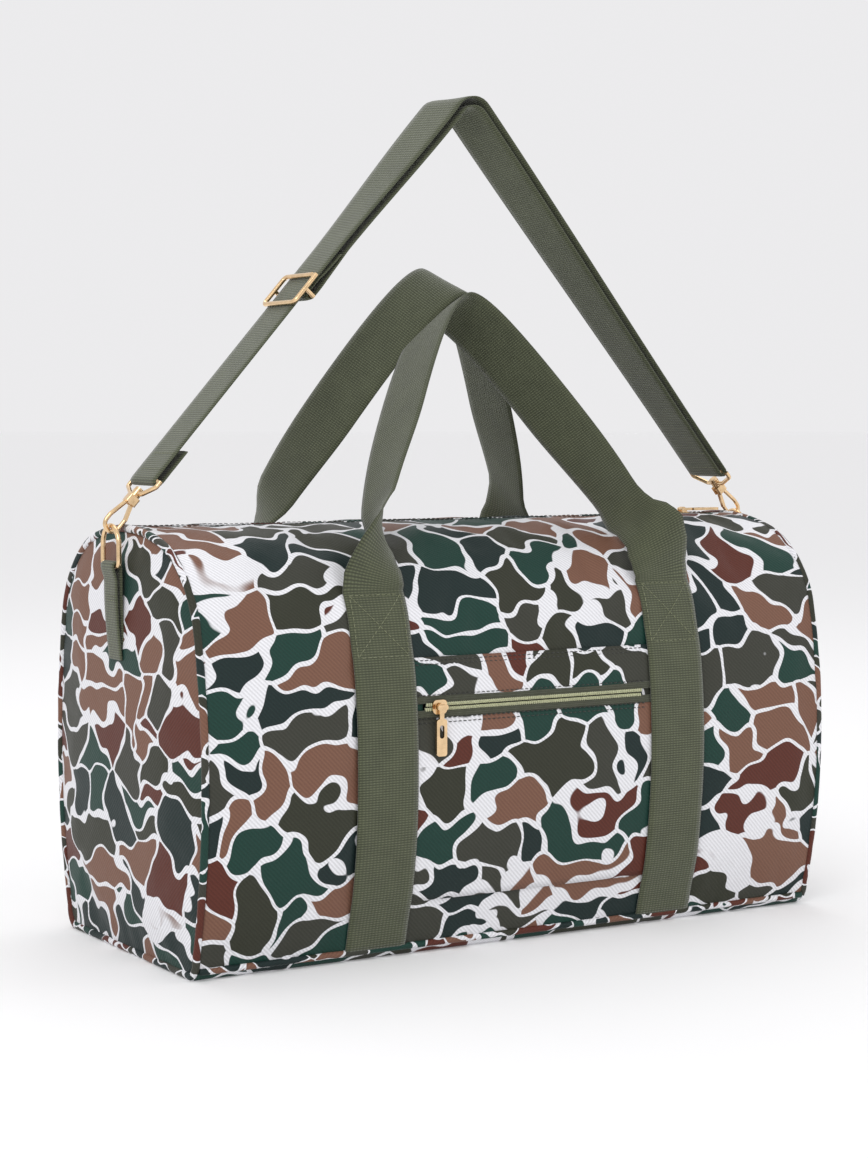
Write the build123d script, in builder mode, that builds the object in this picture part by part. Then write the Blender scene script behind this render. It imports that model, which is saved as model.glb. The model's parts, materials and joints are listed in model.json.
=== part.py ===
"""Soft duffel bag with two carry handles, a zipped front pocket and a clip-on shoulder strap.

Frame: +X along the length of the bag, -Y is the front (pocket) side, +Z is up.
The origin is on the floor, in the middle of the base.  All sizes are millimetres.
"""
from build123d import *
from math import cos, hypot, pi, radians, sin
import os

os.makedirs("parts", exist_ok=True)

# ---------------------------------------------------------------- driving dimensions
BAG_LENGTH = 504.0            # between the two end panels, piping to piping
BAG_HEIGHT = 290.0
BAG_DEPTH = 238.0             # at the widest, half way up
BASE_DEPTH = 184.0            # where the bag meets the floor
CORNER_RISE = 16.0            # height of the rounded bottom edge
WALL = 2.0                    # padded fabric
LINING_WALL = 0.8
SEAM_HEIGHT = 6.0             # side panels are sewn to the bottom panel here
END_WALL = 3.0
PIPING = 5.0
BOARD_THICKNESS = 3.0

WEB_WIDTH = 46.0              # handle webbing
WEB_THICKNESS = 1.6
STRAP_SPACING = 238.0         # centre to centre of the two straps on each side
STRAP_TOP = 248.0             # last stitch row, where the handle leaves the bag
HANDLE_LIFT_FRONT = 214.0     # foot to apex, along the leaning handle
HANDLE_LIFT_BACK = 232.0
HANDLE_LEAN_FRONT = 27.0      # degrees inward from upright
HANDLE_LEAN_BACK = 25.2
HANDLE_FLAT_LENGTH = 15.0     # webbing stays flat above the foot, then turns a quarter
HANDLE_TWIST_LENGTH = 54.0

ZIP_LENGTH = 474.0            # main zip's tapes
CHAIN_LENGTH = 439.0          # its coils, between the two end stops
ZIP_SLOT = 13.0               # visible gap between the folded fabric edges
ZIP_TAPE = 15.0               # half width of the zip tape
COIL_WIDTH = 3.0              # each side of the chain
COIL_THICKNESS = 2.4
TAPE_THICKNESS = 1.0
CHAIN_GAP = 0.7               # half gap between the two coils

POCKET_WIDTH = 190.0          # between the inner edges of the two straps
POCKET_TOP = 203.0
POCKET_ZIP_HEIGHT = 170.0
POCKET_BOTTOM = 38.0
POCKET_DEPTH = 6.0            # room behind the pocket panel
POCKET_SLIDER_X = -79.0

RING_X = 263.0                # D-ring plane, just outside each end panel
RING_BAR_HEIGHT = 264.0
RING_TOP_HEIGHT = 291.0
RING_HALF_WIDTH = 13.0
RING_WIRE = 1.7               # radius
TAB_WIDTH = 20.0
TAB_BOTTOM = 201.0

STRAP_WIDTH = 40.0            # shoulder strap webbing
STRAP_APEX = (8.0, 595.0)     # x, z of the top of the shoulder strap
HOOK_DROP = 3.6               # ring wire to hook wire, centre to centre
ADJUSTER_RUN = 214.0          # hook bend to adjuster, along the strap
RUNNING = 0.06                # radial clearance of a pin in its bore
CLEAR = 0.3                   # gap between pieces that move apart

HALF = BAG_LENGTH / 2


def finish(part, label):
    """Label a finished piece and write its STEP file."""
    part.label = label
    export_step(part, f"parts/{label}.step")


# ---------------------------------------------------------------- bag cross-section
def bag_section():
    """Outline of the bag seen along X: flat base, bulging sides and an arched top."""
    base, edge, wide = BASE_DEPTH / 2, BASE_DEPTH / 2 + 12, BAG_DEPTH / 2
    shoulder = (wide - 12, BAG_HEIGHT - 57)
    crown = (48, BAG_HEIGHT - 6)
    with BuildSketch() as section:
        with BuildLine():
            Line((0, 0), (base, 0))
            ThreePointArc((base, 0), (base + 8.5, 5), (edge, CORNER_RISE))
            ThreePointArc((edge, CORNER_RISE), (wide, 135), shoulder)
            ThreePointArc(shoulder, (wide - 33, BAG_HEIGHT - 26), crown)
            ThreePointArc(crown, (24, BAG_HEIGHT - 1.5), (0, BAG_HEIGHT))
            mirror(about=Plane.YZ)
        make_face()
    return section.sketch


OUTLINE = bag_section()
SHELL_INNER = offset(OUTLINE, amount=-WALL)
TAPE_TOP = SHELL_INNER
TAPE_UNDER = offset(OUTLINE, amount=-WALL - TAPE_THICKNESS)
LINING_OUTER = offset(OUTLINE, amount=-WALL - TAPE_THICKNESS - CLEAR)
LINING_INNER = offset(OUTLINE, amount=-WALL - TAPE_THICKNESS - CLEAR - LINING_WALL)
WEB_INNER = offset(OUTLINE, amount=0.1)
WEB_OUTER = offset(OUTLINE, amount=0.1 + WEB_THICKNESS)
PIPING_OUTER = offset(OUTLINE, amount=1.0)
PIPING_INNER = offset(OUTLINE, amount=1.0 - PIPING)


def band(outer, inner, y_range, z_range):
    """Strip of the cross-section between two outlines, kept inside a box."""
    add(outer)
    add(inner, mode=Mode.SUBTRACT)
    middle = ((y_range[0] + y_range[1]) / 2, (z_range[0] + z_range[1]) / 2)
    with Locations(middle):
        Rectangle(y_range[1] - y_range[0], z_range[1] - z_range[0], mode=Mode.INTERSECT)


def side_range(side, near, far):
    """y limits from near to far on the front (-1) or the back (+1)."""
    return (near, far) if side > 0 else (-far, -near)


FAR = 400.0                   # beyond the bag in any direction

# ---------------------------------------------------------------- shell panels
for side, name in ((-1, "front_panel"), (1, "back_panel")):
    with BuildPart() as panel:
        with BuildSketch(Plane.YZ.offset(-HALF + END_WALL)):
            band(OUTLINE, SHELL_INNER, side_range(side, ZIP_SLOT / 2, FAR), (SEAM_HEIGHT, FAR))
        extrude(amount=BAG_LENGTH - 2 * END_WALL)
        if side < 0:
            with BuildSketch(Plane.XZ):
                with Locations((0, (POCKET_TOP + POCKET_BOTTOM) / 2)):
                    Rectangle(POCKET_WIDTH - 8, POCKET_TOP - POCKET_BOTTOM - 16)
            extrude(amount=BAG_DEPTH, mode=Mode.SUBTRACT)
    finish(panel.part, name)

with BuildPart() as bottom_panel:
    with BuildSketch(Plane.YZ.offset(-HALF + END_WALL)):
        band(OUTLINE, SHELL_INNER, (-FAR, FAR), (0, SEAM_HEIGHT))
    extrude(amount=BAG_LENGTH - 2 * END_WALL)
finish(bottom_panel.part, "bottom_panel")

for side, name in ((-1, "end_panel_left"), (1, "end_panel_right")):
    with BuildPart() as end_panel:
        with BuildSketch(Plane.YZ.offset(side * HALF)):
            add(PIPING_INNER)
        extrude(amount=-side * END_WALL)
        with BuildSketch(Plane.XY):
            Rectangle(FAR * 2, FAR)
        extrude(amount=FAR, mode=Mode.INTERSECT)
    finish(end_panel.part, name)

for side, name in ((-1, "end_piping_left"), (1, "end_piping_right")):
    with BuildPart() as end_piping:
        with BuildSketch(Plane.YZ.offset(side * (HALF + 1))):
            band(PIPING_OUTER, PIPING_INNER, (-FAR, FAR), (0, FAR))
        extrude(amount=-side * (END_WALL + 1))
    finish(end_piping.part, name)

for side, name in ((-1, "bottom_piping_front"), (1, "bottom_piping_back")):
    with BuildPart() as bottom_piping:
        with BuildSketch(Plane.YZ.offset(-HALF + END_WALL)):
            band(offset(OUTLINE, amount=PIPING / 2), OUTLINE, side_range(side, 0, FAR),
                 (SEAM_HEIGHT - PIPING / 2, SEAM_HEIGHT + PIPING / 2))
        extrude(amount=BAG_LENGTH - 2 * END_WALL)
    finish(bottom_piping.part, name)

with BuildPart() as lining:
    with BuildSketch(Plane.YZ.offset(-HALF + END_WALL + CLEAR)):
        band(LINING_OUTER, LINING_INNER, (-FAR, FAR), (0, BAG_HEIGHT - 14))
    extrude(amount=BAG_LENGTH - 2 * END_WALL - 2 * CLEAR)
    with BuildSketch(Plane.XZ):
        with Locations((0, (POCKET_TOP + POCKET_BOTTOM) / 2)):
            Rectangle(POCKET_WIDTH, POCKET_TOP - POCKET_BOTTOM - 4)
    extrude(amount=BAG_DEPTH, mode=Mode.SUBTRACT)
finish(lining.part, "lining")

with BuildPart() as base_board:
    floor_of_bag = WALL + TAPE_THICKNESS + CLEAR + LINING_WALL
    with BuildSketch(Plane.XY.offset(floor_of_bag)):
        RectangleRounded(BAG_LENGTH - 16, BASE_DEPTH - 10, 14)
    extrude(amount=BOARD_THICKNESS)
finish(base_board.part, "base_board")

# ---------------------------------------------------------------- main zip, on the crown of the bag
for side, name in ((-1, "main_zip_tape_front"), (1, "main_zip_tape_back")):
    with BuildPart() as tape:
        with BuildSketch(Plane.YZ.offset(-ZIP_LENGTH / 2)):
            band(TAPE_TOP, TAPE_UNDER, side_range(side, COIL_WIDTH, ZIP_TAPE), (BAG_HEIGHT / 2, FAR))
        extrude(amount=ZIP_LENGTH)
    finish(tape.part, name)

COIL_TOP = BAG_HEIGHT - 0.6
with BuildPart() as main_zip_teeth:
    with BuildSketch(Plane.XY.offset(COIL_TOP)):
        for side in (-1, 1):
            with Locations((0, side * (CHAIN_GAP + COIL_WIDTH) / 2)):
                Rectangle(CHAIN_LENGTH, COIL_WIDTH - CHAIN_GAP)
    extrude(amount=-COIL_THICKNESS)
finish(main_zip_teeth.part, "main_zip_teeth")

SLIDER_LENGTH = 11.0
SLIDER_WIDTH = 9.6
SLIDER_PLATE = 1.2
STOP_LENGTH = 4.0
with BuildPart() as main_zip_stops:
    with BuildSketch(Plane.XY.offset(COIL_TOP)):
        with GridLocations(CHAIN_LENGTH + STOP_LENGTH, 0, 2, 1):
            Rectangle(STOP_LENGTH, 2 * COIL_WIDTH)
    extrude(amount=-COIL_THICKNESS)
finish(main_zip_stops.part, "main_zip_stops")


def slider_body(face):
    """Zip slider around a chain: face is the outer face of the coils, x along the zip."""
    with BuildPart() as body:
        for level, direction in ((CLEAR, 1), (-COIL_THICKNESS - CLEAR, -1)):
            with BuildSketch(face.offset(level)):
                RectangleRounded(SLIDER_LENGTH, SLIDER_WIDTH, 3)
            extrude(amount=direction * SLIDER_PLATE)
        with BuildSketch(face.offset(-COIL_THICKNESS - CLEAR)):
            Rectangle(SLIDER_LENGTH / 2, CHAIN_GAP - 2 * 0.1)
        extrude(amount=COIL_THICKNESS + 2 * CLEAR)
    return body.part


MAIN_SLIDER_X = CHAIN_LENGTH / 2 - SLIDER_LENGTH / 2 - 1
PULL_LENGTH = 33.0
PULL_WIDTH = 8.0
PULL_THICKNESS = 2.0
PIN_RADIUS = 0.9
PIN_LIFT = 3.0                # pull's pin above the slider plate
slider_face = Plane(origin=(MAIN_SLIDER_X, 0, COIL_TOP), x_dir=(1, 0, 0), z_dir=(0, 0, 1))
pin_height = COIL_TOP + CLEAR + SLIDER_PLATE + PIN_LIFT - 1
main_slider_body = slider_body(slider_face)
with BuildPart() as main_zip_slider:
    add(main_slider_body)
    with BuildSketch(Plane.XZ.offset(-3.6)):
        with Locations((MAIN_SLIDER_X, pin_height - 1)):
            RectangleRounded(4, 4.6, 1.2)
    extrude(amount=7.2)
    with BuildSketch(Plane.XZ.offset(-2.5)):
        with Locations((MAIN_SLIDER_X, pin_height + 0.4)):
            Rectangle(6, 4.9)
    extrude(amount=5.0, mode=Mode.SUBTRACT)
    with BuildSketch(Plane.XZ.offset(-3)):
        with Locations((MAIN_SLIDER_X, pin_height)):
            Circle(PIN_RADIUS)
    extrude(amount=6.0)
finish(main_zip_slider.part, "main_zip_slider")

with BuildPart() as main_zip_pull:
    with BuildSketch(Plane.XY.offset(pin_height - PULL_THICKNESS / 2)):
        with Locations((MAIN_SLIDER_X + PULL_LENGTH / 2 + 4, 0)):
            RectangleRounded(PULL_LENGTH - 8, PULL_WIDTH, 2)
        with Locations((MAIN_SLIDER_X + 5, 0)):
            Rectangle(10, 4.4)
        with Locations((MAIN_SLIDER_X + PULL_LENGTH / 2, 0)):
            SlotOverall(9, 3.6, mode=Mode.SUBTRACT)
    extrude(amount=PULL_THICKNESS)
    with BuildSketch(Plane.XZ.offset(-2.2)):
        with Locations((MAIN_SLIDER_X, pin_height)):
            Circle(PIN_RADIUS + 1)
    extrude(amount=4.4)
    with BuildSketch(Plane.XZ.offset(-3)):
        with Locations((MAIN_SLIDER_X, pin_height)):
            Circle(PIN_RADIUS + RUNNING)
    extrude(amount=6.0, mode=Mode.SUBTRACT)
finish(main_zip_pull.part, "main_zip_pull")

# ---------------------------------------------------------------- front pocket
POCKET_FACE_INNER = offset(OUTLINE, amount=0.1)
POCKET_FACE_OUTER = offset(OUTLINE, amount=1.3)
POCKET_BACK_OUTER = offset(OUTLINE, amount=-WALL - POCKET_DEPTH)
POCKET_BACK_INNER = offset(OUTLINE, amount=-WALL - POCKET_DEPTH - LINING_WALL)
POCKET_SLOT = 11.0            # zip opening in the pocket face
pocket_layers = (
    ("pocket_front_panel", POCKET_BOTTOM, POCKET_ZIP_HEIGHT - POCKET_SLOT / 2),
    ("pocket_top_strip", POCKET_ZIP_HEIGHT + POCKET_SLOT / 2, POCKET_TOP),
)
for name, low, high in pocket_layers:
    with BuildPart() as layer:
        with BuildSketch(Plane.YZ.offset(-POCKET_WIDTH / 2)):
            band(POCKET_FACE_OUTER, POCKET_FACE_INNER, (-FAR, 0), (low, high))
        extrude(amount=POCKET_WIDTH)
    finish(layer.part, name)

with BuildPart() as pocket_lining:
    with BuildSketch(Plane.YZ.offset(-(POCKET_WIDTH - 2) / 2)):
        band(SHELL_INNER, POCKET_BACK_INNER, (-FAR, 0), (POCKET_BOTTOM + 6, POCKET_TOP - 6))
    extrude(amount=POCKET_WIDTH - 2)
    with BuildSketch(Plane.YZ.offset(-(POCKET_WIDTH - 4) / 2)):
        band(SHELL_INNER, POCKET_BACK_OUTER, (-FAR, 0), (POCKET_BOTTOM + 7, POCKET_TOP - 7))
    extrude(amount=POCKET_WIDTH - 4, mode=Mode.SUBTRACT)
finish(pocket_lining.part, "pocket_lining")

POCKET_CHAIN_Y = -BAG_DEPTH / 2 - 1.0     # outer face of the pocket coils
POCKET_CHAIN = POCKET_WIDTH - 12
for side, name in ((-1, "pocket_zip_tape_lower"), (1, "pocket_zip_tape_upper")):
    with BuildPart() as pocket_tape:
        with BuildSketch(Plane.XZ.offset(-POCKET_CHAIN_Y - COIL_THICKNESS + TAPE_THICKNESS)):
            with Locations((0, POCKET_ZIP_HEIGHT + side * (COIL_WIDTH + POCKET_SLOT / 2) / 2)):
                Rectangle(POCKET_CHAIN, POCKET_SLOT / 2 - COIL_WIDTH)
        extrude(amount=-TAPE_THICKNESS)
    finish(pocket_tape.part, name)

with BuildPart() as pocket_zip_teeth:
    with BuildSketch(Plane.XZ.offset(-POCKET_CHAIN_Y)):
        for side in (-1, 1):
            with Locations((0, POCKET_ZIP_HEIGHT + side * (CHAIN_GAP + COIL_WIDTH) / 2)):
                Rectangle(POCKET_CHAIN, COIL_WIDTH - CHAIN_GAP)
    extrude(amount=-COIL_THICKNESS)
finish(pocket_zip_teeth.part, "pocket_zip_teeth")

pocket_face = Plane(origin=(POCKET_SLIDER_X, POCKET_CHAIN_Y, POCKET_ZIP_HEIGHT),
                    x_dir=(1, 0, 0), z_dir=(0, -1, 0))
plate_top = CLEAR + SLIDER_PLATE
STUD_HEIGHT = 3.2
pocket_slider_body = slider_body(pocket_face)
with BuildPart() as pocket_zip_slider:
    add(pocket_slider_body)
    with BuildSketch(pocket_face.offset(plate_top)):
        Circle(PIN_RADIUS)
    extrude(amount=STUD_HEIGHT)
    with BuildSketch(pocket_face.offset(plate_top + STUD_HEIGHT)):
        RectangleRounded(8, 3.4, 1.2)
    extrude(amount=1.0)
finish(pocket_zip_slider.part, "pocket_zip_slider")

with BuildPart() as pocket_zip_pull:
    with BuildSketch(pocket_face.offset(plate_top + (STUD_HEIGHT - PULL_THICKNESS) / 2)):
        with Locations((0, 0)):
            Circle(2.8)
        with Locations((0, -5)):
            Rectangle(3.4, 10)
        with Locations((0, -PULL_LENGTH / 2 - 4)):
            RectangleRounded(PULL_WIDTH, PULL_LENGTH - 8, 2)
        with Locations((0, -PULL_LENGTH / 2)):
            SlotOverall(9, 3.6, rotation=90, mode=Mode.SUBTRACT)
        Circle(PIN_RADIUS + RUNNING, mode=Mode.SUBTRACT)
    extrude(amount=PULL_THICKNESS)
finish(pocket_zip_pull.part, "pocket_zip_pull")

# ---------------------------------------------------------------- straps sewn to the sides
for side, face in ((-1, "front"), (1, "back")):
    for end, hand in ((-1, "left"), (1, "right")):
        with BuildPart() as sewn_strap:
            with BuildSketch(Plane.YZ.offset(end * STRAP_SPACING / 2 - WEB_WIDTH / 2)):
                band(WEB_OUTER, WEB_INNER, side_range(side, 0, FAR),
                     (SEAM_HEIGHT + PIPING / 2, STRAP_TOP))
            extrude(amount=WEB_WIDTH)
        finish(sewn_strap.part, f"{face}_strap_{hand}")

# ---------------------------------------------------------------- carry handles
FOOT_Y = 103.0                # strap face at STRAP_TOP
FOOT_GAP = 3.0                # between the sewn strap's end and the free handle
HANDLE_STATIONS = (0.0, 0.04, 0.08, 0.12, 0.16, 0.2, 0.26, 0.36, 0.5, 0.64, 0.76, 0.88)


def bezier(t, p0, p1, p2, p3):
    """Point and direction at t on a cubic curve."""
    s = 1 - t
    point = [s**3 * a + 3 * s * s * t * b + 3 * s * t * t * c + t**3 * d
             for a, b, c, d in zip(p0, p1, p2, p3)]
    slope = [3 * s * s * (b - a) + 6 * s * t * (c - b) + 3 * t * t * (d - c)
             for a, b, c, d in zip(p0, p1, p2, p3)]
    return point, slope


def handle_planes(side, lift, lean, roll):
    """Cross-section planes along one handle, left foot to right foot.

    The webbing lies flat on the bag at each foot and turns a quarter on its way up, so that
    its width runs across the handle at the apex.  roll says which face ends up on top.
    """
    foot = Vector(0, side * FOOT_Y, STRAP_TOP)
    up = Vector(0, -side * sin(radians(lean)), cos(radians(lean)))
    out = Vector(0, side * cos(radians(lean)), sin(radians(lean)))
    half = STRAP_SPACING / 2
    start, rise, shoulder, apex = (-half, 0), (-half + 12, lift * 0.3), (-34, lift), (0, lift)
    planes = []
    for t in HANDLE_STATIONS + (1.0,):
        (u, v), (du, dv) = bezier(t, start, rise, shoulder, apex)
        run = hypot(du, dv)
        share = min(1.0, max(0.0, (v - HANDLE_FLAT_LENGTH) / HANDLE_TWIST_LENGTH))
        turn = pi / 2 * share * share * (3 - 2 * share)
        along = Vector(1, 0, 0) * (du / run) + up * (dv / run)
        inside = Vector(1, 0, 0) * (dv / run) - up * (du / run)
        normal = out * cos(turn) + inside * (roll * sin(turn))
        planes.append((foot + Vector(u, 0, 0) + up * (v + FOOT_GAP), along, normal))
    mirrored = [(Vector(-c.X, c.Y, c.Z), Vector(a.X, -a.Y, -a.Z), Vector(-n.X, n.Y, n.Z))
                for c, a, n in reversed(planes[:-1])]
    return [Plane(origin=c, x_dir=a.cross(n), z_dir=a) for c, a, n in planes + mirrored]


handles = (
    ("front_handle_loop", -1, HANDLE_LIFT_FRONT, HANDLE_LEAN_FRONT, 1),
    ("back_handle_loop", 1, HANDLE_LIFT_BACK, HANDLE_LEAN_BACK, -1),
)
for name, side, lift, lean, roll in handles:
    stations = handle_planes(side, lift, lean, roll)
    with BuildPart() as handle:
        for pair in zip(stations, stations[1:]):
            for plane in pair:
                with BuildSketch(plane):
                    Rectangle(WEB_WIDTH, WEB_THICKNESS)
            loft(ruled=True)
    finish(handle.part, name)

# ---------------------------------------------------------------- D-rings and their tabs
HOOK_HEIGHT = RING_TOP_HEIGHT - 2.7
for end, hand in ((-1, "left"), (1, "right")):
    with BuildPart() as tab:
        with BuildSketch(Plane.XZ.offset(-TAB_WIDTH / 2)):
            with Locations((end * (HALF + 0.1 + 1.7), (TAB_BOTTOM + RING_BAR_HEIGHT) / 2)):
                Rectangle(3.4, RING_BAR_HEIGHT - TAB_BOTTOM)
            with Locations((end * RING_X, RING_BAR_HEIGHT)):
                Circle(RING_WIRE + CLEAR + WEB_THICKNESS)
            with Locations((end * (HALF + 0.1 + RING_X) / 2, RING_BAR_HEIGHT)):
                Rectangle(RING_X - HALF - 0.1, 3.4)
            with Locations((end * RING_X, RING_BAR_HEIGHT)):
                Circle(RING_WIRE + CLEAR, mode=Mode.SUBTRACT)
        extrude(amount=TAB_WIDTH)
    finish(tab.part, f"ring_tab_{hand}")

    with BuildPart() as d_ring:
        with BuildLine(Plane.YZ.offset(end * RING_X)) as ring_path:
            arch = RING_TOP_HEIGHT - RING_HALF_WIDTH
            corner = 4.0
            low = RING_BAR_HEIGHT
            side_y = RING_HALF_WIDTH
            Line((-side_y + corner, low), (side_y - corner, low))
            RadiusArc((side_y - corner, low), (side_y, low + corner), -corner)
            Line((side_y, low + corner), (side_y, arch))
            ThreePointArc((side_y, arch), (0, RING_TOP_HEIGHT), (-side_y, arch))
            Line((-side_y, arch), (-side_y, low + corner))
            RadiusArc((-side_y, low + corner), (-side_y + corner, low), -corner)
        with BuildSketch(Plane(origin=(end * RING_X, 0, low), z_dir=(0, 1, 0))):
            Circle(RING_WIRE)
        sweep()
    finish(d_ring.part, f"ring_{hand}")

# ---------------------------------------------------------------- swivel clasps
HOOK_WIRE = 1.5
BEND = 5.5                    # hook bend radius, to the wire's centre
TIP_AT = 12.5                 # end of the hook's open arm, along the clasp from the bend
HEAD_START = 23.0
HEAD_END = 29.0
BOSS_END = 34.0
STEM = 1.8
GATE_THICKNESS = 2.8
GATE_PIN = 0.8
BASE_AT = 31.6                # base of the clasp's loop
BAR_AT = 43.0                 # webbing bar of the clasp's loop
BAR_WIRE = 1.6
LOOP_HALF = 22.6
LOOP_BASE_HALF = 9.0


def leg_plane(end):
    """Plane at a hook's bend: x runs across the bag, z runs up the strap's leg."""
    start = Vector(end * (RING_X + HOOK_DROP * 0.65), 0, HOOK_HEIGHT)
    top = Vector(STRAP_APEX[0], 0, STRAP_APEX[1])
    return Plane(origin=start, x_dir=(0, 1, 0), z_dir=(top - start).normalized())


def leg_point(end, outward, along, across=0.0):
    """Point on a strap leg: outward is away from the handles, along is up from the hook."""
    leg = leg_plane(end)
    return leg.origin + leg.y_dir * (-end * outward) + leg.z_dir * along + leg.x_dir * across


for end, hand in ((-1, "left"), (1, "right")):
    leg = leg_plane(end)
    upright = Plane(origin=leg.origin, x_dir=leg.y_dir, z_dir=leg.x_dir)
    flat = Plane(origin=leg.origin, x_dir=leg.x_dir, z_dir=-leg.y_dir)
    gate_foot = (end * BEND, TIP_AT + CLEAR)
    gate_pivot = (end * 1.4, HEAD_START + 2.4)

    with BuildPart() as hook:
        with BuildLine(upright):
            Line((-end * 2.0, HEAD_START + 2), (-end * BEND, BEND + 4))
            Line((-end * BEND, BEND + 4), (-end * BEND, BEND))
            ThreePointArc((-end * BEND, BEND), (0, 0), (end * BEND, BEND))
            Line((end * BEND, BEND), (end * BEND, TIP_AT))
        with BuildSketch(Plane(origin=upright.from_local_coords(Vector(end * BEND, TIP_AT, 0)),
                               z_dir=leg.z_dir)):
            Circle(HOOK_WIRE)
        sweep(transition=Transition.ROUND)
        with BuildSketch(leg.offset(HEAD_START)):
            RectangleRounded(7.6, 8.4, 1.5)
        extrude(amount=HEAD_END - HEAD_START)
        with BuildSketch(leg.offset(HEAD_START)):
            with Locations((0, end * 2.2)):
                Rectangle(GATE_THICKNESS + 2 * CLEAR, 6)
        extrude(amount=4.8, mode=Mode.SUBTRACT)
        with BuildSketch(upright.offset(-6)):
            with Locations(gate_pivot):
                Circle(GATE_PIN)
        extrude(amount=12, mode=Mode.SUBTRACT)
        with BuildSketch(leg.offset(HEAD_END)):
            Circle(STEM)
        extrude(amount=BOSS_END - HEAD_END + 2)
        with BuildSketch(leg.offset(BOSS_END + CLEAR)):
            Circle(3.2)
        extrude(amount=1.6)
    finish(hook.part, f"clasp_hook_{hand}")

    with BuildPart() as gate:
        with BuildSketch(upright.offset(-GATE_THICKNESS / 2)):
            with BuildLine():
                Polyline((gate_foot[0] - 1.2, gate_foot[1]), (gate_foot[0] + 1.2, gate_foot[1]),
                         (gate_pivot[0] + 1.2, gate_pivot[1]), (gate_pivot[0] - 1.2, gate_pivot[1]),
                         close=True)
            make_face()
            with Locations(gate_pivot):
                Circle(1.9)
                Circle(GATE_PIN + RUNNING, mode=Mode.SUBTRACT)
        extrude(amount=GATE_THICKNESS)
    finish(gate.part, f"clasp_gate_{hand}")

    with BuildPart() as gate_pin:
        with BuildSketch(upright.offset(-4)):
            with Locations(gate_pivot):
                Circle(GATE_PIN)
        extrude(amount=8)
    finish(gate_pin.part, f"clasp_gate_pin_{hand}")

    with BuildPart() as clasp_loop:
        with BuildLine(flat):
            FilletPolyline((0, BAR_AT), (LOOP_HALF, BAR_AT), (LOOP_HALF, BAR_AT - 5),
                           (LOOP_BASE_HALF, BASE_AT), (-LOOP_BASE_HALF, BASE_AT),
                           (-LOOP_HALF, BAR_AT - 5), (-LOOP_HALF, BAR_AT), radius=2.2, close=False)
            Line((-LOOP_HALF + 6, BAR_AT), (0, BAR_AT))
        with BuildSketch(Plane(origin=leg_point(end, 0, BAR_AT), z_dir=leg.x_dir)):
            Circle(BAR_WIRE)
        sweep()
        with BuildSketch(leg.offset(HEAD_END + CLEAR)):
            Circle(3.4)
        extrude(amount=BOSS_END - HEAD_END - CLEAR)
        with BuildSketch(leg.offset(HEAD_END)):
            Circle(STEM + RUNNING)
        extrude(amount=BOSS_END - HEAD_END + 1, mode=Mode.SUBTRACT)
    finish(clasp_loop.part, f"clasp_loop_{hand}")

# ---------------------------------------------------------------- shoulder strap
WRAP = BAR_WIRE + CLEAR + WEB_THICKNESS / 2       # webbing round a bar, to its middle
SEWN_TAIL = 29.0
APEX_RADIUS = 16.0
INNER_APEX_RADIUS = 12.0
MITRE = 4.3                   # rise of an outer layer's corner over the strap's own corner
ADJUSTER_HALF = 13.0
ADJUSTER_WIRE = 1.7
ADJUSTER_BAR = 1.5
ADJUSTER_SIDE = 22.8
ADJUSTER_TAIL = 34.0
frame_out = WRAP + WEB_THICKNESS / 2 + 0.4 + ADJUSTER_WIRE
eye = ADJUSTER_BAR + CLEAR + WEB_THICKNESS
bar_out = WRAP - WEB_THICKNESS / 2 - CLEAR - eye

apex_x, apex_z = STRAP_APEX
with BuildPart() as shoulder_webbing:
    with BuildLine():
        Line(leg_point(-1, -WRAP, BAR_AT + SEWN_TAIL), leg_point(-1, -WRAP, BAR_AT))
        ThreePointArc(leg_point(-1, -WRAP, BAR_AT), leg_point(-1, 0, BAR_AT - WRAP),
                      leg_point(-1, WRAP, BAR_AT))
        FilletPolyline(leg_point(-1, WRAP, BAR_AT), (apex_x, 0, apex_z + MITRE),
                       leg_point(1, WRAP, BAR_AT), radius=APEX_RADIUS)
        ThreePointArc(leg_point(1, WRAP, BAR_AT), leg_point(1, 0, BAR_AT - WRAP),
                      leg_point(1, -WRAP, BAR_AT))
        FilletPolyline(leg_point(1, -WRAP, BAR_AT), (apex_x, 0, apex_z - MITRE),
                       leg_point(-1, -WRAP, ADJUSTER_RUN + ADJUSTER_TAIL + 0.6),
                       radius=INNER_APEX_RADIUS)
    with BuildSketch(Plane(origin=leg_point(-1, -WRAP, BAR_AT + SEWN_TAIL), x_dir=(0, 1, 0),
                           z_dir=-leg_plane(-1).z_dir)):
        Rectangle(STRAP_WIDTH, WEB_THICKNESS)
    sweep()
finish(shoulder_webbing.part, "shoulder_webbing")

strap = leg_plane(-1)
strap_flat = Plane(origin=leg_point(-1, frame_out, ADJUSTER_RUN), x_dir=strap.x_dir,
                   z_dir=-strap.y_dir)
with BuildPart() as adjuster_frame:
    with BuildLine(strap_flat):
        FilletPolyline((0, ADJUSTER_HALF), (ADJUSTER_SIDE, ADJUSTER_HALF),
                       (ADJUSTER_SIDE, -ADJUSTER_HALF), (-ADJUSTER_SIDE, -ADJUSTER_HALF),
                       (-ADJUSTER_SIDE, ADJUSTER_HALF), radius=3.5)
        Line((-ADJUSTER_SIDE + 6, ADJUSTER_HALF), (0, ADJUSTER_HALF))
    with BuildSketch(Plane(origin=leg_point(-1, frame_out, ADJUSTER_RUN + ADJUSTER_HALF),
                           z_dir=strap.x_dir)):
        Circle(ADJUSTER_WIRE)
    sweep()
    with BuildSketch(strap_flat):
        with GridLocations(2 * ADJUSTER_SIDE, 0, 2, 1):
            Circle(ADJUSTER_BAR)
    extrude(amount=frame_out - bar_out + ADJUSTER_BAR)
finish(adjuster_frame.part, "adjuster_frame")

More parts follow.
